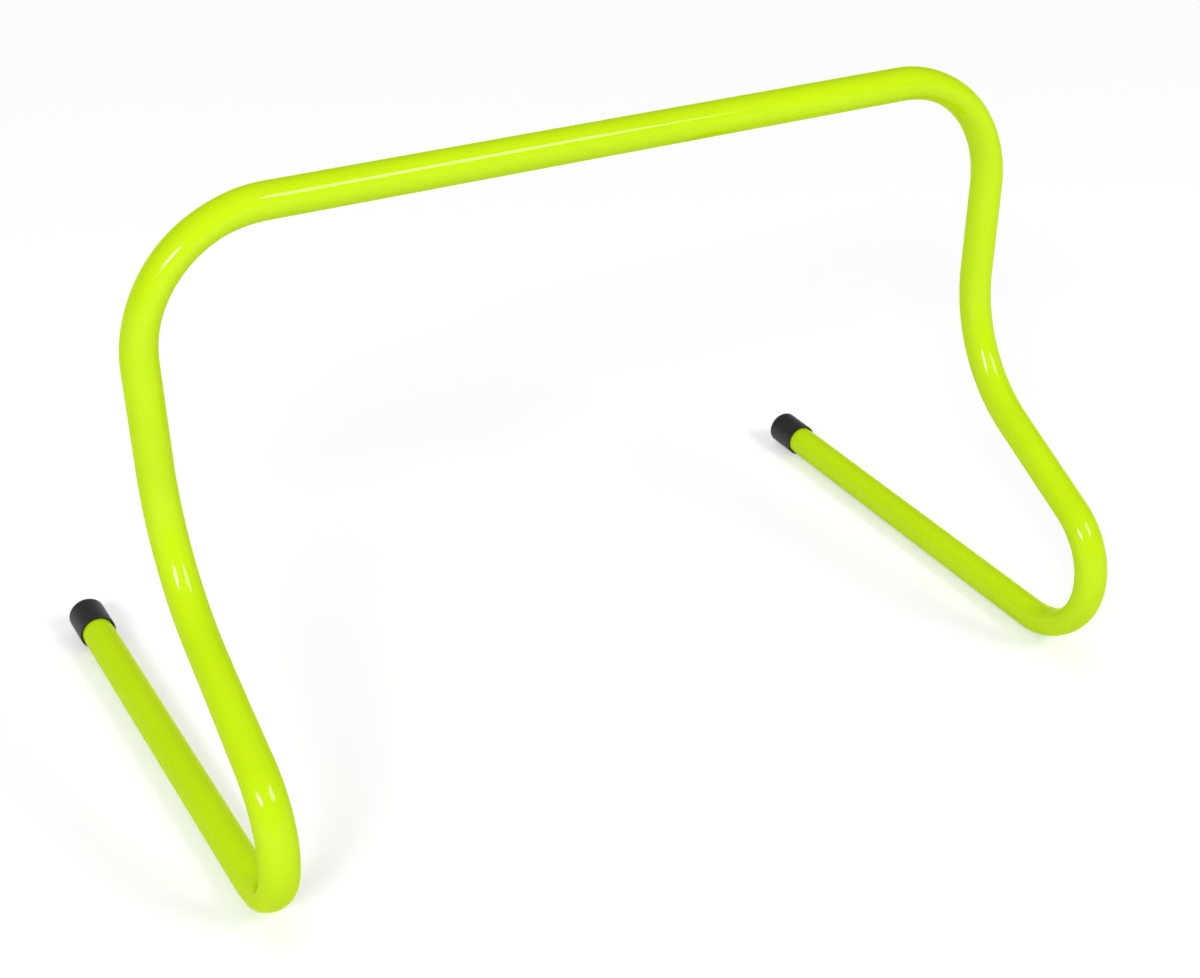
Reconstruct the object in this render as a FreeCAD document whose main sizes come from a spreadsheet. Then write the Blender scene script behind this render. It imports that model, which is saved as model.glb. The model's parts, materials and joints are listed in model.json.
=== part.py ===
"""Speed hurdle: one bent plastic tube that stands on two long feet, and a push-on cap on each foot's end.

Frame: millimetres, +Z up, +X along the top bar to the right, +Y towards the rear ends of the feet.
The origin is on the floor, in the middle of the hurdle's outline seen from above.
"""
import FreeCAD, Part
import math
import os

import Sketcher

# Driving dimensions: name, value in millimetres or degrees, meaning
SIZES = [
    ("tube_diameter", 16.0, "outside diameter of the tube"),
    ("tube_wall", 1.5, "wall of the tube"),
    ("bar_straight", 320.0, "top bar, straight between its corner bends"),
    ("corner_radius", 59.0, "centreline radius of the top corners"),
    ("upper_leg_straight", 45.0, "upper leg, straight between corner and knee"),
    ("upper_leg_inward", 1.4, "degrees that an upper leg leans inwards on its way down"),
    ("upper_leg_forward", 2.5, "degrees that an upper leg leans forwards on its way down"),
    ("knee_radius", 81.0, "centreline radius of the knees"),
    ("shin_straight", 56.0, "shin, straight between knee and toe bend"),
    ("shin_forward", 62.3, "degrees that a shin leans forwards on its way down"),
    ("toe_radius", 38.0, "centreline radius of the toe bends"),
    ("foot_straight", 228.0, "foot, straight from the toe bend to the tube's cut end"),
    ("cap_depth", 19.0, "depth of a cap's socket"),
    ("cap_wall", 1.1, "side wall of a cap"),
    ("cap_end_wall", 1.5, "closed end of a cap"),
    ("cap_clearance", 0.05, "gap between the tube and the socket, all round"),
    ("cap_seat_gap", 0.1, "gap between the tube's cut end and the socket's floor"),
    ("cap_end_round", 2.0, "round on a cap's closed end"),
    ("cap_mouth_round", 0.3, "round on the outer edge of a cap's mouth"),
]

SIDES = {"left": -1, "right": 1}
VOLUME_TOLERANCE = 0.001
STANDING_TOLERANCE = 0.01

doc = FreeCAD.newDocument("speed_hurdle")


def fill_sheet():
    """Puts the driving dimensions in the document's spreadsheet, each under its own alias."""
    sheet = doc.addObject("Spreadsheet::Sheet", "sizes")
    for row, (name, value, meaning) in enumerate(SIZES, start=1):
        sheet.set(f"A{row}", name)
        sheet.set(f"B{row}", str(value))
        sheet.set(f"C{row}", meaning)
        sheet.setAlias(f"B{row}", name)
    doc.recompute()
    return sheet


sizes = fill_sheet()


def cap_outside_radius():
    """Outside radius of a cap's sleeve."""
    return sizes.tube_diameter / 2 + sizes.cap_clearance + sizes.cap_wall


def foot_rise():
    """Angle, in radians, by which a foot rises to the rear.

    The caps are thicker than the tube, so on a flat floor the hurdle stands on its toe bends and on the front
    rims of its caps. The angle is the one at which both are at the same height.
    """
    rim = sizes.foot_straight + sizes.cap_seat_gap - sizes.cap_depth + sizes.cap_mouth_round
    rear = sizes.toe_radius + cap_outside_radius() - sizes.cap_mouth_round
    front = sizes.toe_radius + sizes.tube_diameter / 2 - sizes.cap_mouth_round
    return math.atan2(rear, rim) - math.asin(front / math.hypot(rear, rim))


def headings():
    """Unit vectors along the right half of the tube: bar, upper leg, shin and foot."""
    inward = math.radians(sizes.upper_leg_inward)
    forward = math.radians(sizes.upper_leg_forward)
    shin_forward = math.radians(sizes.shin_forward)
    rise = foot_rise()
    bar = FreeCAD.Vector(1, 0, 0)
    upper_leg = FreeCAD.Vector(-math.tan(inward), -math.tan(forward), -1).normalize()
    shin = FreeCAD.Vector(0, -math.sin(shin_forward), -math.cos(shin_forward))
    foot = FreeCAD.Vector(0, math.cos(rise), math.sin(rise))
    return bar, upper_leg, shin, foot


def bend(start, heading, next_heading, radius):
    """Arc that turns one heading into the next.

    Returns its edge, its end and its centre.
    """
    inside = (next_heading - heading * heading.dot(next_heading)).normalize()
    turn = heading.getAngle(next_heading)

    def along(angle):
        return start + heading * (radius * math.sin(angle)) + inside * (radius * (1 - math.cos(angle)))

    end = along(turn)
    return Part.Arc(start, along(turn / 2), end).toShape(), end, start + inside * radius


def right_half():
    """Centreline of the right half, from the middle of the bar to the cut end of the foot.

    Returns its edges after the bar, the point where the bar ends, the cut end and the centre of the toe bend.
    """
    ways = headings()
    straights = [sizes.upper_leg_straight, sizes.shin_straight, sizes.foot_straight]
    radii = [sizes.corner_radius, sizes.knee_radius, sizes.toe_radius]
    bar_end = ways[0] * (sizes.bar_straight / 2)
    point = bar_end
    edges = []
    for heading, next_heading, radius, straight in zip(ways, ways[1:], radii, straights):
        arc, point, centre = bend(point, heading, next_heading, radius)
        following = point + next_heading * straight
        edges += [arc, Part.LineSegment(point, following).toShape()]
        point = following
    return edges, bar_end, point, centre


def standing_shift(cut_end, toe_centre):
    """Move that stands the tube on the floor, with its outline's middle at the origin."""
    rise = foot_rise()
    reach = sizes.toe_radius + sizes.tube_diameter / 2
    front = toe_centre.y - reach
    flat_end = sizes.cap_seat_gap + sizes.cap_end_wall - sizes.cap_end_round
    flat_radius = cap_outside_radius() - sizes.cap_end_round
    rear = cut_end.y + flat_end * math.cos(rise) + flat_radius * math.sin(rise) + sizes.cap_end_round
    return FreeCAD.Vector(0, -(front + rear) / 2, reach - toe_centre.z)


def make_path():
    """Centreline of the whole tube, from the left foot's cut end to the right one's.

    Returns the path and the cut end of the right foot.
    """
    edges, bar_end, cut_end, toe_centre = right_half()
    middle, across = FreeCAD.Vector(0, 0, 0), FreeCAD.Vector(1, 0, 0)
    left_edges = [edge.mirror(middle, across) for edge in edges]
    bar = Part.LineSegment(FreeCAD.Vector(-bar_end.x, bar_end.y, bar_end.z), bar_end).toShape()
    shift = standing_shift(cut_end, toe_centre)
    wire = Part.Wire(Part.sortEdges(left_edges + [bar] + edges)[0])
    path = doc.addObject("Part::Feature", "tube_centreline")
    path.Shape = wire
    path.Placement = FreeCAD.Placement(shift, FreeCAD.Rotation())
    return path, cut_end + shift


def add_circle(sketch, name, radius):
    """Circle about the sketch's origin, whose radius follows an expression."""
    centre, normal = FreeCAD.Vector(0, 0, 0), FreeCAD.Vector(0, 0, 1)
    circle = sketch.addGeometry(Part.Circle(centre, normal, sizes.tube_diameter / 2), False)
    sketch.addConstraint(Sketcher.Constraint("Coincident", circle, 3, -1, 1))
    index = sketch.addConstraint(Sketcher.Constraint("Radius", circle, sizes.tube_diameter / 2))
    sketch.renameConstraint(index, name)
    sketch.setExpression(f"Constraints.{name}", radius)


def make_tube(path, cut_end):
    """The bent tube: a ring section carried along the whole centreline."""
    body = doc.addObject("PartDesign::Body", "hurdle_tube")
    section = body.newObject("Sketcher::SketchObject", "tube_section")
    foot = headings()[-1]
    section.Placement = FreeCAD.Placement(cut_end, FreeCAD.Rotation(FreeCAD.Vector(0, 0, 1), foot))
    add_circle(section, "outside", "sizes.tube_diameter / 2")
    add_circle(section, "bore", "sizes.tube_diameter / 2 - sizes.tube_wall")
    binder = body.newObject("PartDesign::SubShapeBinder", "tube_spine")
    binder.Support = [(path, ("",))]
    doc.recompute()
    pipe = body.newObject("PartDesign::AdditivePipe", "bent_tube")
    pipe.Profile = section
    pipe.Spine = (binder, [f"Edge{number}" for number in range(1, len(path.Shape.Edges) + 1)])
    doc.recompute()
    return body


def add_cap_profile(sketch):
    """Half section of a cap: across is its radius, up is its axis, with the socket's floor at the origin."""
    bore = sizes.tube_diameter / 2 + sizes.cap_clearance
    outside = cap_outside_radius()
    corners = [
        (0, 0),
        (bore, 0),
        (bore, -sizes.cap_depth),
        (outside, -sizes.cap_depth),
        (outside, sizes.cap_end_wall),
        (0, sizes.cap_end_wall),
    ]
    points = [FreeCAD.Vector(radius, height, 0) for radius, height in corners]
    for start, end in zip(points, points[1:] + points[:1]):
        sketch.addGeometry(Part.LineSegment(start, end), False)
    floor, socket, mouth, sleeve, end_face, axis = range(len(corners))
    for line in range(len(corners)):
        following = (line + 1) % len(corners)
        sketch.addConstraint(Sketcher.Constraint("Coincident", line, 2, following, 1))
    sketch.addConstraint(Sketcher.Constraint("Coincident", floor, 1, -1, 1))
    for line in (floor, mouth, end_face):
        sketch.addConstraint(Sketcher.Constraint("Horizontal", line))
    for line in (socket, sleeve, axis):
        sketch.addConstraint(Sketcher.Constraint("Vertical", line))
    lengths = [
        ("bore_radius", "DistanceX", floor, "sizes.tube_diameter / 2 + sizes.cap_clearance"),
        ("socket_depth", "DistanceY", socket, "sizes.cap_depth"),
        ("side_wall", "DistanceX", mouth, "sizes.cap_wall"),
        ("end_wall", "DistanceY", axis, "sizes.cap_end_wall"),
    ]
    for name, kind, line, formula in lengths:
        ends = (line, 2, line, 1) if line in (socket, axis) else (line, 1, line, 2)
        length = points[line].distanceToPoint(points[(line + 1) % len(points)])
        index = sketch.addConstraint(Sketcher.Constraint(kind, *ends, length))
        sketch.renameConstraint(index, name)
        sketch.setExpression(f"Constraints.{name}", formula)


def rim_edges(shape, height):
    """Names of the circular edges on the outside of a cap at one height along its axis."""
    outside = cap_outside_radius()
    names = []
    for number, edge in enumerate(shape.Edges, start=1):
        curve = edge.Curve
        if not isinstance(curve, Part.Circle):
            continue
        if math.isclose(curve.Radius, outside) and math.isclose(curve.Center.z, height):
            names.append(f"Edge{number}")
    return names


def make_cap(side):
    """One push-on end cap: a turned cup with a rounded closed end and an eased mouth."""
    body = doc.addObject("PartDesign::Body", f"{side}_end_cap")
    planes = {feature.Role: feature for feature in body.Origin.OriginFeatures}
    profile = body.newObject("Sketcher::SketchObject", f"{side}_cap_profile")
    profile.AttachmentSupport = (planes["XZ_Plane"], [""])
    profile.MapMode = "FlatFace"
    add_cap_profile(profile)
    doc.recompute()
    cup = body.newObject("PartDesign::Revolution", f"{side}_cap_cup")
    cup.Profile = profile
    cup.ReferenceAxis = (profile, ["V_Axis"])
    cup.Angle = 360
    doc.recompute()
    rounds = [
        ("end_round", sizes.cap_end_wall, "sizes.cap_end_round"),
        ("mouth_round", -sizes.cap_depth, "sizes.cap_mouth_round"),
    ]
    for name, height, formula in rounds:
        base = body.Tip
        fillet = body.newObject("PartDesign::Fillet", f"{side}_cap_{name}")
        fillet.Base = (base, rim_edges(base.Shape, height))
        fillet.setExpression("Radius", formula)
        doc.recompute()
    return body


def seat_cap(body, side, cut_end):
    """Puts a cap on its foot: the socket's floor just behind the tube's cut end, its axis along the foot."""
    foot = headings()[-1]
    floor = cut_end + foot * sizes.cap_seat_gap
    place = FreeCAD.Vector(SIDES[side] * floor.x, floor.y, floor.z)
    body.Placement = FreeCAD.Placement(place, FreeCAD.Rotation(FreeCAD.Vector(0, 0, 1), foot))


def check(parts, path):
    """Raises if an object failed, a solid isn't whole, the tube's volume is off or a part doesn't stand."""
    for item in doc.Objects:
        if "Invalid" in item.State or "Error" in item.State:
            raise RuntimeError(f"{item.Label} failed: {item.State}")
    for part in parts:
        if part.Shape.isNull() or not part.Shape.isValid() or len(part.Shape.Solids) != 1:
            raise RuntimeError(f"{part.Label} isn't one valid solid")
    tube = parts[0]
    outside = sizes.tube_diameter / 2
    section = math.pi * (outside ** 2 - (outside - sizes.tube_wall) ** 2)
    expected = section * path.Shape.Length
    if abs(tube.Shape.Volume / expected - 1) > VOLUME_TOLERANCE:
        raise RuntimeError(f"the tube's volume is {tube.Shape.Volume}, not {expected}")
    for part in parts:
        lowest = part.Shape.optimalBoundingBox(False, False).ZMin
        if abs(lowest) > STANDING_TOLERANCE:
            raise RuntimeError(f"{part.Label} stands {lowest} above the floor")


def main():
    """Builds the tube and the caps, checks them and writes a file for each."""
    path, cut_end = make_path()
    parts = [make_tube(path, cut_end)]
    for side in SIDES:
        cap = make_cap(side)
        seat_cap(cap, side, cut_end)
        parts.append(cap)
    doc.recompute()
    check(parts, path)
    os.makedirs("parts", exist_ok=True)
    for part in parts:
        part.Shape.exportStep(f"parts/{part.Label}.step")
        box = part.Shape.optimalBoundingBox(False, False)
        print(part.Label, "volume", round(part.Shape.Volume, 2), "box", box)


main()
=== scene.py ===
"""Looks of the speed hurdle: one bent lime tube on two long feet, with a black push-on cap on each end.

Frame: metres, +Z up, +X along the top bar to the right, +Y towards the rear ends of the feet.
"""
import json
import logging
import math
from dataclasses import dataclass, field
from enum import Enum

import bmesh
import bpy
from bmesh.types import BMEdge, BMesh, BMVert
from bpy.types import Material, Node, NodeSocket, NodeTree, Object, bpy_prop_collection
from mathutils import Matrix, Vector


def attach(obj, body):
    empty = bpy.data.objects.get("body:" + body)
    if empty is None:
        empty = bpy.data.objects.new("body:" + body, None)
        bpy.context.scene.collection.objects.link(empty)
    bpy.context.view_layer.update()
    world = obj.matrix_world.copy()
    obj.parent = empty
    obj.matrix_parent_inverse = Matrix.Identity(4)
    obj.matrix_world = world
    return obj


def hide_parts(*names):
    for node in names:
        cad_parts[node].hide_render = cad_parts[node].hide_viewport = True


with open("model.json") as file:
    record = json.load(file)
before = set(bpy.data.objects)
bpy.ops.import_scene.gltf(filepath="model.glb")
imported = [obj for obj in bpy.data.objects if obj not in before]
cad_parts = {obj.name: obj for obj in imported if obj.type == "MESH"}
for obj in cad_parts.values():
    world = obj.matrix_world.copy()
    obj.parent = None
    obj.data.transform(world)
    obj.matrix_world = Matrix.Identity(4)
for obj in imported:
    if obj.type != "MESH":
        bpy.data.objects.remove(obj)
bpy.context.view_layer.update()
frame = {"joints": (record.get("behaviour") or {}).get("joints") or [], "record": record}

UP = Vector((0.0, 0.0, 1.0))
ALONG_BAR = Vector((1.0, 0.0, 0.0))
WHITE = (1.0, 1.0, 1.0, 1.0)
# Points nearer to each other than this, in metres, are one point.
SAME_POINT = 1e-7
# Lengths that differ by less than this, in metres, are the same length.
SAME_LENGTH = 1e-6
CM3_PER_M3 = 1e6

Colour = tuple[float, float, float, float]
Range = tuple[float, float]
Scale = tuple[float, float, float]

log = logging.getLogger("speed_hurdle")


class Side(Enum):
    """The two sides of the hurdle, seen along +Y."""

    LEFT = "left"
    RIGHT = "right"


class LampShape(Enum):
    """Outline of a soft box."""

    ROUND = "ELLIPSE"
    PANEL = "RECTANGLE"


class Effect(Enum):
    """Shared surface effects, each one node group."""

    TONE_DRIFT = "tone_drift"
    FINE_GRAIN = "fine_grain"
    HANDLING_MARKS = "handling_marks"


def mount_place(name: str) -> Vector:
    """Place of one of the record's mounts.

    Args:
        name: the mount's name.

    Returns:
        Its point in the frame.
    """
    mounts = {mount["name"]: mount for mount in frame["record"]["mounts"]}
    return Vector(mounts[name]["pos_m"])


def slide_axis(side: Side) -> Vector:
    """Direction in which one cap pulls off.

    Args:
        side: the cap's side.

    Returns:
        Unit vector along that foot, to the rear.
    """
    joints = {joint["name"]: joint for joint in frame["joints"]}
    return Vector(joints[f"{side.value}_cap_pull"]["axis"]).normalized()


def smooth_step(share: float) -> float:
    """Eases a share between 0 and 1, and holds it at those outside them."""
    part = min(1.0, max(0.0, share))
    return part * part * (3.0 - 2.0 * part)


class NodeBoard:
    """Adds nodes to one node tree and links them."""

    def __init__(self, tree: NodeTree) -> None:
        """Starts on an empty tree."""
        self.tree = tree
        self.tree.nodes.clear()

    def add(self, kind: str, **settings: object) -> Node:
        """Adds a node.

        Args:
            kind: the node's type, without its ShaderNode prefix.
            settings: properties of the node.

        Returns:
            The new node.
        """
        prefix = "" if kind.startswith("NodeGroup") else "ShaderNode"
        node = self.tree.nodes.new(prefix + kind)
        for name, value in settings.items():
            setattr(node, name, value)
        return node

    def connect(self, socket: NodeSocket, source: object) -> None:
        """Links or sets one input.

        Args:
            socket: the input.
            source: an output socket to link, or a constant.
        """
        if isinstance(source, NodeSocket):
            self.tree.links.new(source, socket)
        else:
            socket.default_value = source

    def feed(self, node: Node, **sources: object) -> Node:
        """Links or sets inputs by name, with underscores for spaces.

        Args:
            node: the node that is fed.
            sources: an output socket to link, or a constant, for each input.

        Returns:
            The same node.
        """
        for name, source in sources.items():
            self.connect(node.inputs[name.replace("_", " ")], source)
        return node

    def math(self, operation: str, first: object, second: object) -> NodeSocket:
        """Adds a Math node.

        Args:
            operation: the Math node's operation.
            first: an output socket or a number.
            second: an output socket or a number.

        Returns:
            Its result.
        """
        node = self.add("Math", operation=operation)
        self.connect(node.inputs[0], first)
        self.connect(node.inputs[1], second)
        return node.outputs[0]

    def span(self, value: NodeSocket, low: float, high: float, start: object, end: object,
             smooth: bool = False) -> NodeSocket:
        """Maps a range of values to another one.

        Args:
            value: what is mapped.
            low: lowest value of the first range.
            high: highest value of the first range.
            start: what low becomes, a number or a socket.
            end: what high becomes, a number or a socket.
            smooth: eases both ends.

        Returns:
            The mapped value, which stays between start and end.
        """
        kind = "SMOOTHSTEP" if smooth else "LINEAR"
        node = self.add("MapRange", interpolation_type=kind, clamp=True)
        self.feed(node, Value=value, From_Min=low, From_Max=high, To_Min=start, To_Max=end)
        return node.outputs["Result"]

    def stretch(self, vector: NodeSocket, scale: Scale) -> NodeSocket:
        """Scales coordinates by a different amount along each axis.

        Args:
            vector: the coordinates.
            scale: factor along each axis.

        Returns:
            The scaled coordinates.
        """
        node = self.feed(self.add("Mapping"), Vector=vector, Scale=scale)
        return node.outputs["Vector"]

    def noise(self, vector: NodeSocket, scale: object, detail: float) -> NodeSocket:
        """Adds a noise texture.

        Args:
            vector: its coordinates.
            scale: features per unit of the coordinates, a number or a socket.
            detail: how many finer layers it has.

        Returns:
            The noise, from 0 to 1.
        """
        node = self.add("TexNoise")
        self.feed(node, Vector=vector, Scale=scale, Detail=detail)
        return node.outputs[0]

    def tint(self, colour: object, factor: object, other: object, blend: str) -> NodeSocket:
        """Mixes two colours.

        Args:
            colour: the first colour, a socket or four numbers.
            factor: share of the mix, a socket or a number.
            other: the second colour, a socket or four numbers.
            blend: how the two are mixed.

        Returns:
            The mixed colour.
        """
        node = self.add("Mix", data_type="RGBA", blend_type=blend)
        inputs = {socket.identifier: socket for socket in node.inputs}
        self.connect(inputs["Factor_Float"], factor)
        self.connect(inputs["A_Color"], colour)
        self.connect(inputs["B_Color"], other)
        return next(socket for socket in node.outputs if socket.identifier == "Result_Color")


@dataclass
class Effects:
    """The shared surface effects, each built once as a shader node group.

    The ranges are values of a noise, which keeps near its middle.
    """

    noise_middle: float = 0.5
    drift_range: Range = (0.3, 0.7)
    drift_detail: float = 2.0
    grain_detail: float = 3.0
    patch_range: Range = (0.5, 0.7)
    hair_stretch: Scale = (0.25, 1.0, 1.0)
    hair_width: float = 0.012
    mark_detail: float = 2.0
    groups: dict[Effect, NodeTree] = field(init=False)

    def __post_init__(self) -> None:
        """Builds every group."""
        self.groups = {
            Effect.TONE_DRIFT: self.tone_drift(),
            Effect.FINE_GRAIN: self.fine_grain(),
            Effect.HANDLING_MARKS: self.handling_marks(),
        }

    @staticmethod
    def start(effect: Effect, inputs: dict[str, str],
              outputs: dict[str, str]) -> tuple[NodeBoard, bpy_prop_collection, Node]:
        """Makes an empty group with named sockets.

        Args:
            effect: which effect the group holds.
            inputs: socket type of each input.
            outputs: socket type of each output.

        Returns:
            The group's board, what its input node gives and its output node.
        """
        board = NodeBoard(bpy.data.node_groups.new(effect.value, "ShaderNodeTree"))
        for in_out, sockets in (("INPUT", inputs), ("OUTPUT", outputs)):
            for name, kind in sockets.items():
                board.tree.interface.new_socket(name, in_out=in_out, socket_type=f"NodeSocket{kind}")
        return board, board.add("NodeGroupInput").outputs, board.add("NodeGroupOutput")

    def tone_drift(self) -> NodeTree:
        """Makes a colour that drifts slowly a little darker and lighter over the surface.

        Returns:
            The node group.
        """
        inputs = {"Vector": "Vector", "Color": "Color", "Scale": "Float", "Amount": "Float"}
        board, given, result = self.start(Effect.TONE_DRIFT, inputs, {"Color": "Color"})
        drift = board.noise(given["Vector"], given["Scale"], self.drift_detail)
        darker = board.math("SUBTRACT", 1.0, given["Amount"])
        lighter = board.math("ADD", 1.0, given["Amount"])
        shade = board.span(drift, *self.drift_range, darker, lighter)
        board.feed(result, Color=board.tint(given["Color"], 1.0, shade, "MULTIPLY"))
        return board.tree

    def fine_grain(self) -> NodeTree:
        """Makes the height of the fine texture that a mould or a die leaves on plastic.

        Returns:
            The node group.
        """
        inputs = {"Vector": "Vector", "Scale": "Float", "Depth": "Float"}
        board, given, result = self.start(Effect.FINE_GRAIN, inputs, {"Height": "Float"})
        grain = board.noise(given["Vector"], given["Scale"], self.grain_detail)
        board.feed(result, Height=board.math("MULTIPLY", grain, given["Depth"]))
        return board.tree

    def handling_marks(self) -> NodeTree:
        """Makes a mask of short hairline scuffs, gathered in a few patches.

        Returns:
            The node group.
        """
        inputs = {"Vector": "Vector", "Patches": "Float", "Hairs": "Float", "Amount": "Float"}
        board, given, result = self.start(Effect.HANDLING_MARKS, inputs, {"Mask": "Float"})
        spread = board.noise(given["Vector"], given["Patches"], self.mark_detail)
        patches = board.span(spread, *self.patch_range, 0.0, 1.0, smooth=True)
        drawn_out = board.stretch(given["Vector"], self.hair_stretch)
        ridges = board.noise(drawn_out, given["Hairs"], self.mark_detail)
        off_middle = board.math("ABSOLUTE", board.math("SUBTRACT", ridges, self.noise_middle), 0.0)
        hairs = board.span(off_middle, 0.0, self.hair_width, 1.0, 0.0)
        marks = board.math("MULTIPLY", board.math("MULTIPLY", patches, hairs), given["Amount"])
        board.feed(result, Mask=marks)
        return board.tree

    def place(self, board: NodeBoard, effect: Effect, **sources: object) -> NodeSocket:
        """Puts an effect into a material.

        Args:
            board: the material's board.
            effect: which effect.
            sources: what feeds its inputs.

        Returns:
            The group's one output.
        """
        node = board.add("Group", node_tree=self.groups[effect])
        return board.feed(node, **sources).outputs[0]


@dataclass(frozen=True)
class LimeTubePlastic:
    """Glossy rigid plastic of the tube, coloured through, with faint lines from the die that drew it.

    Its clear outer skin takes up blue, so the lime stays deep where the surface turns away. The gloss is
    held back in red and green, in which the lime is already bright, so that its marks are white.
    """

    colour: Colour = (0.592, 0.852, 0.0, 1.0)
    gloss_tint: Colour = (0.28, 0.24, 1.0, 1.0)
    roughness: float = 0.10
    refraction: float = 1.6
    skin_tint: Colour = (0.95, 0.975, 0.42, 1.0)
    skin_refraction: float = 1.02
    drift_per_metre: float = 14.0
    drift_amount: float = 0.025
    scuff_colour: Colour = (0.65, 0.87, 0.10, 1.0)
    scuff_colour_share: float = 0.5
    scuffed_roughness: float = 0.34
    scuff_patches_per_metre: float = 22.0
    scuffs_per_metre: float = 240.0
    scuff_amount: float = 0.5
    floor_rub_height: float = 0.0022
    rub_patches_per_metre: float = 160.0
    rubs_per_metre: float = 900.0
    die_lines_per_metre: Scale = (9.0, 420.0, 420.0)
    die_line_detail: float = 2.0
    grain_per_metre: float = 900.0
    grain_share: float = 0.10
    relief_height: float = 0.000012
    coordinates: str = "along_tube"

    def wear(self, board: NodeBoard, effects: Effects, along: NodeSocket) -> NodeSocket:
        """Adds scuffs from handling all over, and denser ones where the tube stands on the floor.

        Args:
            board: the material's board.
            effects: the shared surface effects.
            along: coordinates along and around the tube.

        Returns:
            Mask of the worn places.
        """
        scuffs = effects.place(board, Effect.HANDLING_MARKS, Vector=along,
                               Patches=self.scuff_patches_per_metre, Hairs=self.scuffs_per_metre,
                               Amount=self.scuff_amount)
        place = board.add("TexCoord").outputs["Object"]
        height = board.feed(board.add("SeparateXYZ"), Vector=place).outputs["Z"]
        near_floor = board.span(height, 0.0, self.floor_rub_height, 1.0, 0.0, smooth=True)
        rubs = effects.place(board, Effect.HANDLING_MARKS, Vector=along,
                             Patches=self.rub_patches_per_metre, Hairs=self.rubs_per_metre, Amount=1.0)
        return board.math("MAXIMUM", scuffs, board.math("MULTIPLY", near_floor, rubs))

    def relief(self, board: NodeBoard, effects: Effects, along: NodeSocket) -> NodeSocket:
        """Adds the die lines and the grain.

        Args:
            board: the material's board.
            effects: the shared surface effects.
            along: coordinates along and around the tube.

        Returns:
            The surface's normal.
        """
        lines = board.noise(board.stretch(along, self.die_lines_per_metre), 1.0, self.die_line_detail)
        grain = effects.place(board, Effect.FINE_GRAIN, Vector=along, Scale=self.grain_per_metre,
                              Depth=self.grain_share)
        height = board.math("ADD", lines, grain)
        bump = board.feed(board.add("Bump"), Height=height, Strength=1.0, Distance=self.relief_height)
        return bump.outputs["Normal"]

    def material(self, effects: Effects) -> Material:
        """Builds the finish.

        Args:
            effects: the shared surface effects.

        Returns:
            The tube's material.
        """
        made = bpy.data.materials.new("lime_tube_plastic")
        made.use_nodes = True
        board = NodeBoard(made.node_tree)
        along = board.add("Attribute", attribute_name=self.coordinates).outputs["Vector"]
        drift = effects.place(board, Effect.TONE_DRIFT, Vector=along, Color=self.colour,
                              Scale=self.drift_per_metre, Amount=self.drift_amount)
        worn = self.wear(board, effects, along)
        share = board.math("MULTIPLY", worn, self.scuff_colour_share)
        base = board.tint(drift, share, self.scuff_colour, "MIX")
        rough = board.span(worn, 0.0, 1.0, self.roughness, self.scuffed_roughness)
        shader = board.add("BsdfPrincipled")
        board.feed(shader, Base_Color=base, Roughness=rough, Normal=self.relief(board, effects, along))
        board.feed(shader, IOR=self.refraction, Specular_Tint=self.gloss_tint)
        board.feed(shader, Coat_Weight=1.0, Coat_Roughness=self.roughness, Coat_IOR=self.skin_refraction,
                   Coat_Tint=self.skin_tint)
        board.feed(board.add("OutputMaterial"), Surface=shader.outputs["BSDF"])
        return made


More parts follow.
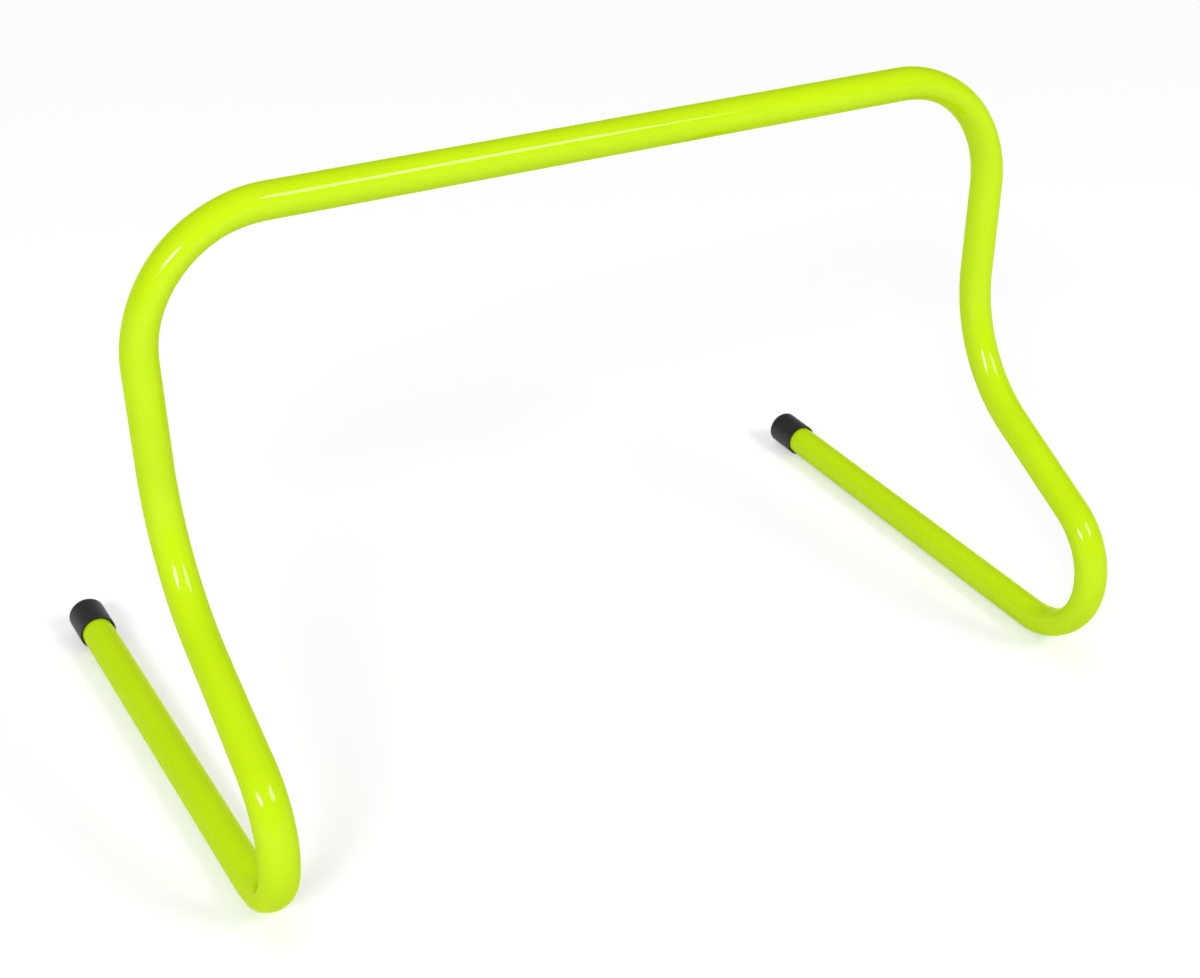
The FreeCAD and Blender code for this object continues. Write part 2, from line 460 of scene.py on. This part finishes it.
@dataclass(frozen=True)
class BlackCapPlastic:
    """Matt black soft plastic of the caps, with a fine moulded grain and rims greyed partly by wear and
    partly by a painted sheen.
    """

    colour: Colour = (0.008, 0.008, 0.0084, 1.0)
    roughness: float = 0.46
    refraction: float = 1.5
    gloss_level: float = 0.36
    drift_per_metre: float = 90.0
    drift_amount: float = 0.12
    # The rims' lighter grey stands partly for wear and partly for a painted sheen on the rounded edges.
    rim_wear_and_sheen_colour: Colour = (0.03, 0.03, 0.03, 1.0)
    rim_wear_and_sheen_share: float = 0.6
    rubbed_roughness: float = 0.34
    rim_wear_and_sheen_per_metre: float = 500.0
    rim_wear_and_sheen_detail: float = 3.0
    rim_wear_and_sheen_range: Range = (0.35, 0.65)
    least_rim_wear_and_sheen: float = 0.2
    scuff_patches_per_metre: float = 120.0
    scuffs_per_metre: float = 700.0
    scuff_amount: float = 0.8
    grain_per_metre: float = 2600.0
    relief_height: float = 0.00002
    rim_mask: str = "rim"

    def wear(self, board: NodeBoard, effects: Effects, place: NodeSocket) -> NodeSocket:
        """Adds uneven rubbing and a painted sheen on the rims, and scuffs all over.

        Args:
            board: the material's board.
            effects: the shared surface effects.
            place: the cap's own coordinates.

        Returns:
            Mask of the worn places.
        """
        scuffs = effects.place(board, Effect.HANDLING_MARKS, Vector=place,
                               Patches=self.scuff_patches_per_metre, Hairs=self.scuffs_per_metre,
                               Amount=self.scuff_amount)
        # The rim mask greys the rounded end and the mouth: wear there, and a painted sheen.
        rim = board.add("Attribute", attribute_name=self.rim_mask).outputs["Fac"]
        spread = board.noise(place, self.rim_wear_and_sheen_per_metre, self.rim_wear_and_sheen_detail)
        uneven = board.span(spread, *self.rim_wear_and_sheen_range, self.least_rim_wear_and_sheen, 1.0)
        return board.math("MAXIMUM", board.math("MULTIPLY", rim, uneven), scuffs)

    def material(self, effects: Effects) -> Material:
        """Builds the finish.

        Args:
            effects: the shared surface effects.

        Returns:
            The caps' material.
        """
        made = bpy.data.materials.new("black_cap_plastic")
        made.use_nodes = True
        board = NodeBoard(made.node_tree)
        place = board.add("TexCoord").outputs["Object"]
        drift = effects.place(board, Effect.TONE_DRIFT, Vector=place, Color=self.colour,
                              Scale=self.drift_per_metre, Amount=self.drift_amount)
        worn = self.wear(board, effects, place)
        # Greys the scuffs, and the rims with wear and a painted sheen.
        share = board.math("MULTIPLY", worn, self.rim_wear_and_sheen_share)
        base = board.tint(drift, share, self.rim_wear_and_sheen_colour, "MIX")
        rough = board.span(worn, 0.0, 1.0, self.roughness, self.rubbed_roughness)
        grain = effects.place(board, Effect.FINE_GRAIN, Vector=place, Scale=self.grain_per_metre,
                              Depth=1.0)
        bump = board.feed(board.add("Bump"), Height=grain, Strength=1.0, Distance=self.relief_height)
        shader = board.add("BsdfPrincipled")
        board.feed(shader, Base_Color=base, Roughness=rough, Normal=bump.outputs["Normal"])
        board.feed(shader, IOR=self.refraction, Specular_IOR_Level=self.gloss_level)
        board.feed(board.add("OutputMaterial"), Surface=shader.outputs["BSDF"])
        return made


def points_and_edges(geometry: list) -> tuple[list[BMVert], list[BMEdge]]:
    """Sorts out the points and the edges among what a mesh operator made.

    Args:
        geometry: points, edges and faces.

    Returns:
        The points and the edges.
    """
    verts = [item for item in geometry if isinstance(item, BMVert)]
    edges = [item for item in geometry if isinstance(item, BMEdge)]
    return verts, edges


def round_edges(bm: BMesh, edges: list[BMEdge], size: float, segments: int) -> None:
    """Rounds edges of a shape.

    Args:
        bm: the shape.
        edges: the edges to round.
        size: how far back the rounding starts.
        segments: how many facets it has.
    """
    bmesh.ops.bevel(bm, geom=edges, offset=size, offset_type="OFFSET", segments=segments, profile=0.5,
                    affect="EDGES", material=-1, clamp_overlap=True)


def finish_piece(bm: BMesh, name: str, material: Material, sharp: float) -> Object:
    """Turns a modelled shape into a shaded object at the origin.

    Args:
        bm: the shape, which is used up.
        name: the piece's name.
        material: its finish.
        sharp: edges that turn by more than this angle, in radians, stay crisp.

    Returns:
        The object.
    """
    for face in bm.faces:
        face.smooth = True
    for edge in bm.edges:
        edge.smooth = len(edge.link_faces) == 2 and edge.calc_face_angle() < sharp
    mesh = bpy.data.meshes.new(name)
    bm.to_mesh(mesh)
    bm.free()
    mesh.materials.append(material)
    piece = bpy.data.objects.new(name, mesh)
    bpy.context.scene.collection.objects.link(piece)
    return piece


@dataclass
class Ring:
    """One cross section of the tube while it is drawn out."""

    centre: Vector
    heading: Vector
    side: Vector
    run: float
    verts: list[BMVert]
    edges: list[BMEdge]


@dataclass(frozen=True)
class Bend:
    """One bend of the tube, and the straight that follows it.

    The flattening is the share of the tube's thickness that is lost in the bend's own plane. It starts
    the lead before the bend and is gone where the bend ends.
    """

    radius: float
    heading: Vector
    straight: float
    flattening: float
    lead: float = 0.0


@dataclass
class BentTube:
    """The hurdle's one tube: a bar between two corners, two legs with a knee each, and two feet."""

    finish: LimeTubePlastic
    diameter: float = 0.016
    wall: float = 0.0015
    bar_straight: float = 0.320
    corner_radius: float = 0.059
    upper_leg_straight: float = 0.045
    upper_leg_inward: float = math.radians(1.4)
    upper_leg_forward: float = math.radians(2.5)
    knee_radius: float = 0.081
    shin_straight: float = 0.056
    shin_forward: float = math.radians(62.3)
    toe_radius: float = 0.038
    foot_straight: float = 0.228
    corner_flattening: float = 0.086
    knee_flattening: float = 0.02
    toe_flattening: float = 0.14
    toe_lead: float = 0.055
    bulge: float = 0.8
    easing: float = 0.3
    cut_bevel: float = 0.0002
    cut_bevel_segments: int = 2
    sides: int = 64
    straight_step: float = 0.006
    bend_step: float = math.radians(3.0)
    sharp: float = math.radians(40.0)
    bar_middle: Vector = field(default_factory=lambda: mount_place("top_bar"))
    foot_heading: Vector = field(default_factory=lambda: slide_axis(Side.RIGHT))

    def bends(self) -> list[Bend]:
        """Lists the right half's bends.

        Returns:
            Corner, knee and toe, in order from the bar to the foot.
        """
        upper_leg = Vector((-math.tan(self.upper_leg_inward), -math.tan(self.upper_leg_forward), -1.0))
        shin = Vector((0.0, -math.sin(self.shin_forward), -math.cos(self.shin_forward)))
        corner = Bend(radius=self.corner_radius, heading=upper_leg.normalized(),
                      straight=self.upper_leg_straight, flattening=self.corner_flattening)
        knee = Bend(radius=self.knee_radius, heading=shin, straight=self.shin_straight,
                    flattening=self.knee_flattening)
        toe = Bend(radius=self.toe_radius, heading=self.foot_heading, straight=self.foot_straight,
                   flattening=self.toe_flattening, lead=self.toe_lead)
        return [corner, knee, toe]

    def first_ring(self, bm: BMesh) -> Ring:
        """Makes the section in the middle of the bar.

        Args:
            bm: the empty mesh that gets it.

        Returns:
            The ring, which heads along the bar.
        """
        turned = Matrix.Translation(self.bar_middle) @ Matrix.Rotation(math.radians(90.0), 4, "Y")
        verts = bmesh.ops.create_circle(bm, cap_ends=False, segments=self.sides, radius=self.diameter / 2,
                                        matrix=turned)["verts"]
        ring = Ring(self.bar_middle.copy(), ALONG_BAR.copy(), UP.copy(), 0.0, verts, bm.edges[:])
        self.mark(bm, ring)
        return ring

    def mark(self, bm: BMesh, ring: Ring) -> None:
        """Notes on each point of a ring where it lay on the tube before it was bent.

        Args:
            bm: the tube's mesh.
            ring: the ring.
        """
        layer = bm.verts.layers.float_vector.get(self.finish.coordinates)
        across = ring.heading.cross(ring.side)
        for vert in ring.verts:
            arm = vert.co - ring.centre
            vert[layer] = Vector((ring.run, arm.dot(ring.side), arm.dot(across)))

    def draw_straight(self, bm: BMesh, ring: Ring, length: float) -> list[Ring]:
        """Draws a straight stretch out of a ring.

        Args:
            bm: the tube's mesh.
            ring: where the stretch starts.
            length: how long it is.

        Returns:
            Its new rings, in order.
        """
        rings = []
        steps = max(1, round(length / self.straight_step))
        step = length / steps
        move = ring.heading * step
        for _ in range(steps):
            made = bmesh.ops.extrude_edge_only(bm, edges=ring.edges)["geom"]
            verts, edges = points_and_edges(made)
            fresh = set(verts)
            hoop = [edge for edge in edges if fresh.issuperset(edge.verts)]
            bmesh.ops.translate(bm, vec=move, verts=verts)
            ring = Ring(ring.centre + move, ring.heading, ring.side, ring.run + step, verts, hoop)
            self.mark(bm, ring)
            rings.append(ring)
        return rings

    def draw_bend(self, bm: BMesh, ring: Ring, bend: Bend) -> list[Ring]:
        """Draws a bend out of a ring.

        Args:
            bm: the tube's mesh.
            ring: where the bend starts.
            bend: its radius and its next heading.

        Returns:
            Its new rings, in order.
        """
        turn = ring.heading.angle(bend.heading)
        axis = ring.heading.cross(bend.heading).normalized()
        pivot = ring.centre + axis.cross(ring.heading) * bend.radius
        steps = max(1, round(turn / self.bend_step))
        step = turn / steps
        rotation = Matrix.Rotation(step, 3, axis)
        rings = []
        for _ in range(steps):
            made = bmesh.ops.spin(bm, geom=ring.verts + ring.edges, cent=pivot, axis=axis, angle=step,
                                  steps=1, use_merge=False, use_duplicate=False)["geom_last"]
            verts, edges = points_and_edges(made)
            centre = pivot + rotation @ (ring.centre - pivot)
            run = ring.run + bend.radius * step
            ring = Ring(centre, rotation @ ring.heading, rotation @ ring.side, run, verts, edges)
            self.mark(bm, ring)
            rings.append(ring)
        return rings

    def ease(self, run: float, start: float, end: float, lead: float) -> float:
        """Rises from 0 to 1 where a bend's flattening starts and falls again where it ends.

        Args:
            run: how far along the tube.
            start: where the bend starts.
            end: where it ends.
            lead: how far before the bend the flattening starts.

        Returns:
            The share of the bend's flattening there.
        """
        fade = self.easing * (end - start)
        rise = smooth_step((run - start + lead) / (lead + fade))
        fall = smooth_step((end - run) / fade)
        return rise * fall

    def flatten(self, bm: BMesh, rings: list[Ring], bend: Bend, start: Ring, end: Ring) -> None:
        """Flattens a bend the way a heat-bent tube flattens: thinner in its plane and wider across it.

        Args:
            bm: the tube's mesh.
            rings: every ring of the half.
            bend: the bend, with its flattening.
            start: the ring where it starts.
            end: the ring where it ends.
        """
        axis = start.heading.cross(end.heading).normalized()
        for ring in rings:
            amount = bend.flattening * self.ease(ring.run, start.run, end.run, bend.lead)
            if amount > 0.0:
                inward = axis.cross(ring.heading)
                local = Matrix((inward, axis, ring.heading)).to_4x4() @ Matrix.Translation(-ring.centre)
                scale = Vector((1.0 - amount, 1.0 + self.bulge * amount, 1.0))
                bmesh.ops.scale(bm, vec=scale, space=local, verts=ring.verts)

    def draw_half(self, bm: BMesh) -> None:
        """Draws the outer skin of the right half, from the bar's middle to the foot's cut end.

        Args:
            bm: the empty mesh that gets it.
        """
        rings = [self.first_ring(bm)]
        rings += self.draw_straight(bm, rings[0], self.bar_straight / 2)
        ends = []
        for bend in self.bends():
            start = rings[-1]
            rings += self.draw_bend(bm, start, bend)
            ends.append((bend, start, rings[-1]))
            rings += self.draw_straight(bm, rings[-1], bend.straight)
        for bend, start, end in ends:
            self.flatten(bm, rings, bend, start, end)

    def cut_end(self) -> Vector:
        """Works out where the right foot ends.

        Returns:
            Centre of its cut end.
        """
        point = self.bar_middle + ALONG_BAR * (self.bar_straight / 2)
        heading = ALONG_BAR
        for bend in self.bends():
            inward = (bend.heading - heading * heading.dot(bend.heading)).normalized()
            turn = heading.angle(bend.heading)
            point = point + heading * (bend.radius * math.sin(turn))
            point = point + inward * (bend.radius * (1.0 - math.cos(turn)))
            point = point + bend.heading * bend.straight
            heading = bend.heading
        return point

    def cut_hoops(self, bm: BMesh) -> list[BMEdge]:
        """Finds the edges round the outside and the inside of both cut ends.

        Args:
            bm: the tube's mesh, with its wall.

        Returns:
            The edges of the four hoops.
        """
        end = self.cut_end()
        hoops = []
        for edge in bm.edges:
            arms = [Vector((abs(vert.co.x), vert.co.y, vert.co.z)) - end for vert in edge.verts]
            in_plane = all(abs(arm.dot(self.foot_heading)) < SAME_LENGTH for arm in arms)
            if in_plane and abs(arms[0].length - arms[1].length) < SAME_LENGTH:
                hoops.append(edge)
        return hoops

    def build(self, material: Material) -> Object:
        """Models the whole tube, with its wall and its eased cut ends.

        Args:
            material: the tube's finish.

        Returns:
            The tube, riding on its body in place of its CAD node.
        """
        bm = bmesh.new()
        layer = bm.verts.layers.float_vector.new(self.finish.coordinates)
        self.draw_half(bm)
        half = bm.verts[:] + bm.edges[:] + bm.faces[:]
        bmesh.ops.mirror(bm, geom=half, matrix=Matrix.Identity(4), merge_dist=SAME_POINT, axis="X")
        bmesh.ops.remove_doubles(bm, verts=bm.verts, dist=SAME_POINT)
        bmesh.ops.recalc_face_normals(bm, faces=bm.faces)
        for vert in bm.verts:
            if vert.co.x < 0.0:
                run, side, across = vert[layer]
                vert[layer] = Vector((-run, side, across))
        bmesh.ops.solidify(bm, geom=bm.faces[:], thickness=self.wall)
        round_edges(bm, self.cut_hoops(bm), self.cut_bevel, self.cut_bevel_segments)
        log.info("lime_tube holds %.1f cm3 of plastic", bm.calc_volume(signed=True) * CM3_PER_M3)
        piece = finish_piece(bm, "lime_tube", material, self.sharp)
        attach(piece, "tube")
        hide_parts("hurdle_tube")
        return piece


@dataclass
class EndCap:
    """A push-on end cap: a moulded cup with a rounded closed end and a lead-in at its mouth."""

    side: Side
    finish: BlackCapPlastic
    tube_diameter: float
    cut_end: Vector
    depth: float = 0.019
    wall: float = 0.0011
    end_wall: float = 0.0015
    clearance: float = 0.00005
    seat_gap: float = 0.0001
    end_round: float = 0.002
    end_round_segments: int = 8
    mouth_round: float = 0.0003
    mouth_round_segments: int = 4
    lead_in: float = 0.0003
    lead_in_segments: int = 2
    gate_radius: float = 0.0014
    gate_depth: float = 0.0002
    support: float = 0.0004
    sides: int = 72
    sharp: float = math.radians(40.0)

    @property
    def bore(self) -> float:
        """Radius of the socket."""
        return self.tube_diameter / 2 + self.clearance

    @property
    def outside(self) -> float:
        """Outside radius of the sleeve."""
        return self.bore + self.wall

    def outline(self) -> list[tuple[float, float]]:
        """Lists the corners of the half section, from the gate mark on the end to the socket's floor.

        Returns:
            Radius and height along the axis of each, with the socket's floor at height 0.
        """
        return [
            (0.0, self.end_wall - self.gate_depth),
            (self.gate_radius - self.gate_depth, self.end_wall - self.gate_depth),
            (self.gate_radius, self.end_wall),
            (self.outside - self.end_round - self.support, self.end_wall),
            (self.outside, self.end_wall),
            (self.outside, self.end_wall - self.end_round - self.support),
            (self.outside, -self.depth + self.mouth_round + self.support),
            (self.outside, -self.depth),
            (self.bore, -self.depth),
            (self.bore, 0.0),
            (0.0, 0.0),
        ]

    def hoop(self, bm: BMesh, radius: float, height: float) -> list[BMEdge]:
        """Finds the edges of one hoop of the cap.

        Args:
            bm: the cap's mesh, with its axis along Z.
            radius: radius of the hoop.
            height: its height along the axis.

        Returns:
            The hoop's edges.
        """
        def on_hoop(vert: BMVert) -> bool:
            """Tells whether a point lies on the hoop."""
            reach = math.hypot(vert.co.x, vert.co.y)
            return abs(reach - radius) < SAME_LENGTH and abs(vert.co.z - height) < SAME_LENGTH
        return [edge for edge in bm.edges if all(on_hoop(vert) for vert in edge.verts)]

    def turn(self, bm: BMesh) -> None:
        """Spins the half section into a closed cup and rounds its edges.

        Args:
            bm: the empty mesh that gets the cup, with its axis along Z.
        """
        verts = [bm.verts.new((radius, 0.0, height)) for radius, height in self.outline()]
        edges = [bm.edges.new(pair) for pair in zip(verts, verts[1:])]
        bmesh.ops.spin(bm, geom=verts + edges, cent=(0.0, 0.0, 0.0), axis=UP, angle=2 * math.pi,
                       steps=self.sides, use_merge=True, use_duplicate=False)
        bmesh.ops.remove_doubles(bm, verts=bm.verts, dist=SAME_POINT)
        bmesh.ops.recalc_face_normals(bm, faces=bm.faces)
        rounds = [
            (self.outside, self.end_wall, self.end_round, self.end_round_segments),
            (self.outside, -self.depth, self.mouth_round, self.mouth_round_segments),
            (self.bore, -self.depth, self.lead_in, self.lead_in_segments),
        ]
        for radius, height, size, segments in rounds:
            round_edges(bm, self.hoop(bm, radius, height), size, segments)

    def mark_rims(self, bm: BMesh) -> None:
        """Marks the points on the rounded end and on the mouth, where the cap rubs and where a painted
        sheen lightens it.

        Args:
            bm: the cap's mesh, with its axis along Z.
        """
        layer = bm.verts.layers.float.new(self.finish.rim_mask)
        for vert in bm.verts:
            reach = math.hypot(vert.co.x, vert.co.y)
            on_end = vert.co.z > self.end_wall - self.end_round and reach > self.outside - self.end_round
            on_mouth = vert.co.z < -self.depth + self.mouth_round and reach > self.bore + self.lead_in
            vert[layer] = 1.0 if on_end or on_mouth else 0.0

    def build(self, material: Material) -> Object:
        """Models the cap on its foot.

        Args:
            material: the caps' finish.

        Returns:
            The cap, riding on its body in place of its CAD node.
        """
        bm = bmesh.new()
        self.turn(bm)
        self.mark_rims(bm)
        axis = slide_axis(self.side)
        floor = self.cut_end + axis * self.seat_gap
        turned = axis.to_track_quat("Z", "Y").to_matrix().to_4x4()
        bmesh.ops.transform(bm, matrix=Matrix.Translation(floor) @ turned, verts=bm.verts)
        side = self.side.value
        piece = finish_piece(bm, f"{side}_black_cap", material, self.sharp)
        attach(piece, f"{side}_cap")
        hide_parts(f"{side}_end_cap")
        return piece


@dataclass(frozen=True)
class SoftBox:
    """One soft studio lamp, aimed at the middle of the hurdle, with its angles in degrees.

    A lamp that isn't seen only fills the shade: it shows neither itself nor a gloss mark.
    """

    name: str
    shape: LampShape
    azimuth: float
    elevation: float
    distance: float
    width: float
    height: float
    power: float
    seen: bool = True

    def build(self, aim: Vector) -> Object:
        """Puts the lamp in the scene.

        Args:
            aim: the point that it faces.

        Returns:
            The lamp.
        """
        lamp = bpy.data.lights.new(self.name, "AREA")
        lamp.shape = self.shape.value
        lamp.size = self.width
        lamp.size_y = self.height
        lamp.energy = self.power
        turn = math.radians(self.azimuth)
        rise = math.radians(self.elevation)
        level = math.cos(rise)
        towards = Vector((math.sin(turn) * level, -math.cos(turn) * level, math.sin(rise)))
        placed = bpy.data.objects.new(self.name, lamp)
        placed.location = aim + towards * self.distance
        placed.rotation_mode = "QUATERNION"
        placed.rotation_quaternion = (-towards).to_track_quat("-Z", "Y")
        placed.visible_camera = self.seen
        placed.visible_glossy = self.seen
        bpy.context.scene.collection.objects.link(placed)
        return placed


@dataclass
class Studio:
    """Plain white studio: floor, surrounding light, three soft boxes and a camera at the photo's angle."""

    floor_radius: float = 30.0
    floor_sides: int = 96
    floor_colour: Colour = (0.80, 0.80, 0.80, 1.0)
    near_floor_lift: float = 0.31
    far_floor_lift: float = 0.62
    near_floor_reach: float = 0.8
    far_floor_reach: float = 5.0
    horizon_light: float = 1.0
    overhead_light: float = 0.44
    horizon_band: float = 0.30
    aim: Vector = field(default_factory=lambda: Vector((0.0, 0.0, 0.13)))
    eye: Vector = field(default_factory=lambda: Vector((-0.42477, -0.72920, 0.58557)))
    look_at: Vector = field(default_factory=lambda: Vector((-0.02547, -0.05514, 0.13)))
    roll: float = math.radians(-1.3526)
    lens: float = 59.827
    sensor: float = 36.0
    boxes: tuple[SoftBox, ...] = (
        SoftBox(name="round_soft_box", shape=LampShape.ROUND, azimuth=-43.0, elevation=33.0, distance=5.0,
                width=1.80, height=0.80, power=108.0),
        SoftBox(name="panel_soft_box", shape=LampShape.PANEL, azimuth=29.2, elevation=40.0, distance=5.0,
                width=1.40, height=1.20, power=72.0),
        SoftBox(name="rear_fill_box", shape=LampShape.PANEL, azimuth=180.0, elevation=22.0, distance=5.0,
                width=3.00, height=2.00, power=36.0, seen=False),
    )

    @staticmethod
    def seen_directly(board: NodeBoard) -> NodeSocket:
        """Tells rays that see a surface from rays that only carry its light.

        Args:
            board: the surface's board.

        Returns:
            1 on rays from the camera, from gloss and through glass, and 0 on others.
        """
        path = board.add("LightPath").outputs
        straight = board.math("MAXIMUM", path["Is Camera Ray"], path["Is Glossy Ray"])
        return board.math("MAXIMUM", straight, path["Is Transmission Ray"])

    def floor_material(self) -> Material:
        """Builds the floor's finish, which looks whiter with distance until it meets the white surround.

        Returns:
            The floor's material.
        """
        made = bpy.data.materials.new("pale_floor")
        made.use_nodes = True
        board = NodeBoard(made.node_tree)
        sheet = board.feed(board.add("BsdfDiffuse"), Color=self.floor_colour)
        place = board.add("TexCoord").outputs["Object"]
        reach = board.feed(board.add("VectorMath", operation="LENGTH"), Vector=place).outputs["Value"]
        lift = board.span(reach, self.near_floor_reach, self.far_floor_reach, self.near_floor_lift,
                          self.far_floor_lift, smooth=True)
        strength = board.math("MULTIPLY", self.seen_directly(board), lift)
        glow = board.feed(board.add("Emission"), Strength=strength)
        both = board.add("AddShader")
        board.connect(both.inputs[0], sheet.outputs["BSDF"])
        board.connect(both.inputs[1], glow.outputs["Emission"])
        board.feed(board.add("OutputMaterial"), Surface=both.outputs["Shader"])
        return made

    def build_floor(self) -> Object:
        """Makes the floor: a pale sheet that keeps the hurdle's shadow.

        Returns:
            The floor.
        """
        bm = bmesh.new()
        bmesh.ops.create_circle(bm, cap_ends=True, segments=self.floor_sides, radius=self.floor_radius)
        floor = finish_piece(bm, "floor", self.floor_material(), sharp=math.pi)
        return floor

    def build_surround(self) -> None:
        """Makes the white light from all round, which is dimmer overhead than at the horizon."""
        world = bpy.data.worlds.new("white_surround")
        world.use_nodes = True
        board = NodeBoard(world.node_tree)
        direction = board.add("TexCoord").outputs["Generated"]
        rise = board.feed(board.add("SeparateXYZ"), Vector=direction).outputs["Z"]
        strength = board.span(rise, 0.0, self.horizon_band, self.horizon_light, self.overhead_light,
                              smooth=True)
        shader = board.feed(board.add("Background"), Color=WHITE, Strength=strength)
        board.feed(board.add("OutputWorld"), Surface=shader.outputs["Background"])
        bpy.context.scene.world = world

    def build_camera(self) -> Object:
        """Makes the camera and gives it to the scene.

        Returns:
            The camera.
        """
        data = bpy.data.cameras.new("photo_view")
        data.lens = self.lens
        data.sensor_width = self.sensor
        data.dof.use_dof = False
        camera = bpy.data.objects.new("photo_view", data)
        forward = (self.look_at - self.eye).normalized()
        level = forward.cross(UP).normalized()
        right = Matrix.Rotation(self.roll, 3, forward) @ level
        turned = Matrix((right, right.cross(forward), -forward)).transposed()
        camera.matrix_world = Matrix.Translation(self.eye) @ turned.to_4x4()
        bpy.context.scene.collection.objects.link(camera)
        bpy.context.scene.camera = camera
        return camera

    def build(self) -> None:
        """Sets up the whole studio."""
        self.build_floor()
        self.build_surround()
        for box in self.boxes:
            box.build(self.aim)
        self.build_camera()
        bpy.context.scene.view_settings.view_transform = "Standard"


def report_piece(piece: Object) -> None:
    """Logs a piece's name and how many faces it has."""
    log.info("%s has %d faces", piece.name, len(piece.data.polygons))


def main() -> None:
    """Builds the hurdle and the studio around it."""
    logging.basicConfig(level=logging.INFO, format="%(name)s: %(message)s")
    effects = Effects()
    lime = LimeTubePlastic()
    black = BlackCapPlastic()
    tube = BentTube(finish=lime)
    report_piece(tube.build(lime.material(effects)))
    cap_material = black.material(effects)
    right_end = tube.cut_end()
    ends = {Side.LEFT: Vector((-right_end.x, right_end.y, right_end.z)), Side.RIGHT: right_end}
    for side, end in ends.items():
        cap = EndCap(side=side, finish=black, tube_diameter=tube.diameter, cut_end=end)
        report_piece(cap.build(cap_material))
    Studio().build()


if __name__ == "__main__":
    main()
